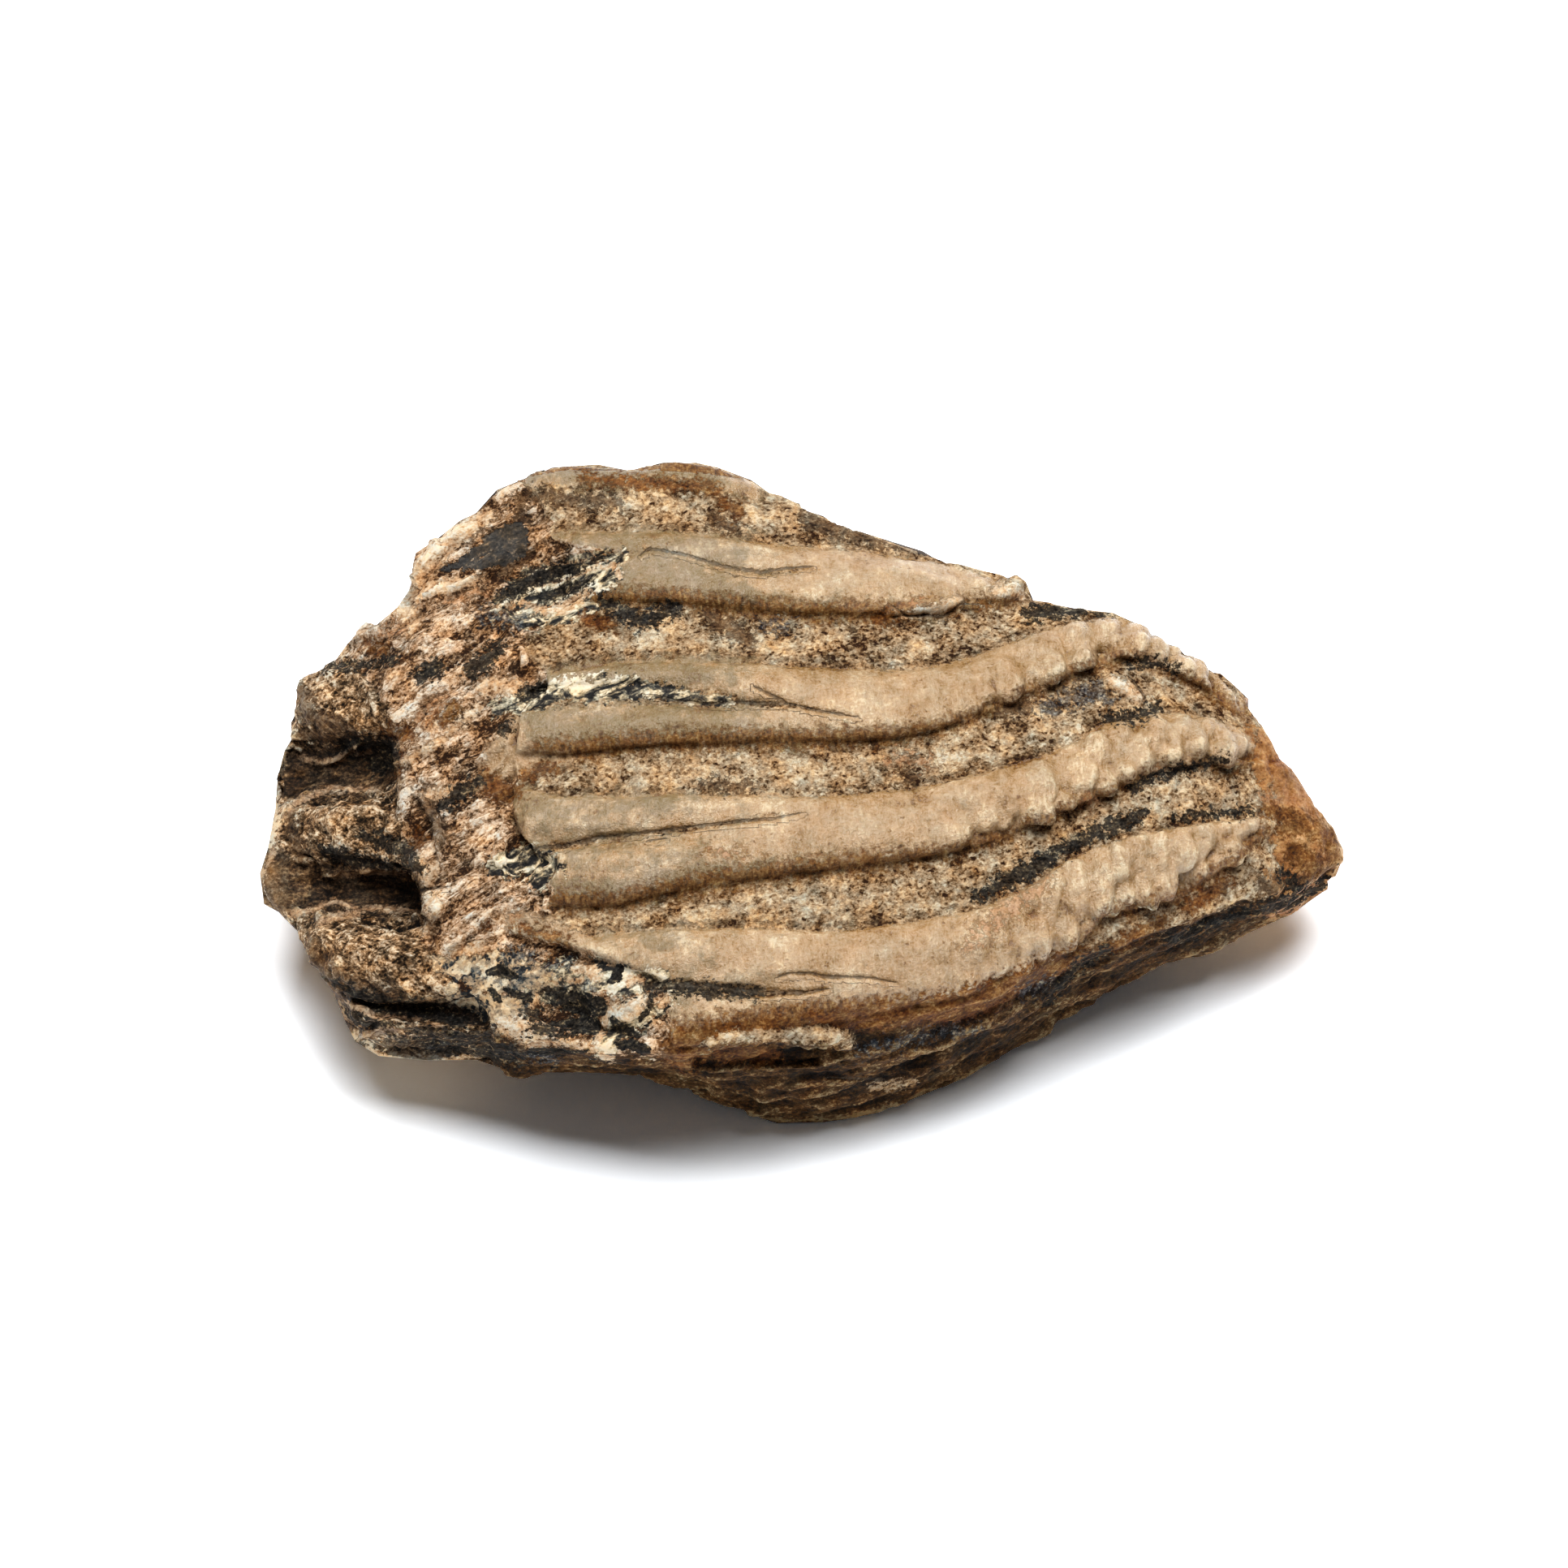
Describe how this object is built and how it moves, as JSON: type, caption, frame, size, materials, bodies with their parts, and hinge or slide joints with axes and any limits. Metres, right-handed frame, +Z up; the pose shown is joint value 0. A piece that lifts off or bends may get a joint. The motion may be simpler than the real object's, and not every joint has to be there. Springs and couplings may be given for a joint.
{
  "type": "fossil mammoth molar fragment",
  "caption": "Broken piece of a fossil mammoth molar lying on its side: wavy enamel ridges with speckled cement between them, root lobes and open pulp canals at one end.",
  "frame": {"origin": "centre of the footprint, on the surface the tooth lies on", "axes": "+X along the plates from the root end to the crown tip, +Y towards the side away from the viewer, +Z up out of the ridged side"},
  "size_m": [0.0892, 0.0573, 0.0274],
  "materials": {
    "fossil_tooth": "natural, half matt"
  },
  "bodies": {
    "root": {"molar_slice": "fossil_tooth"}
  },
  "joints": []
}
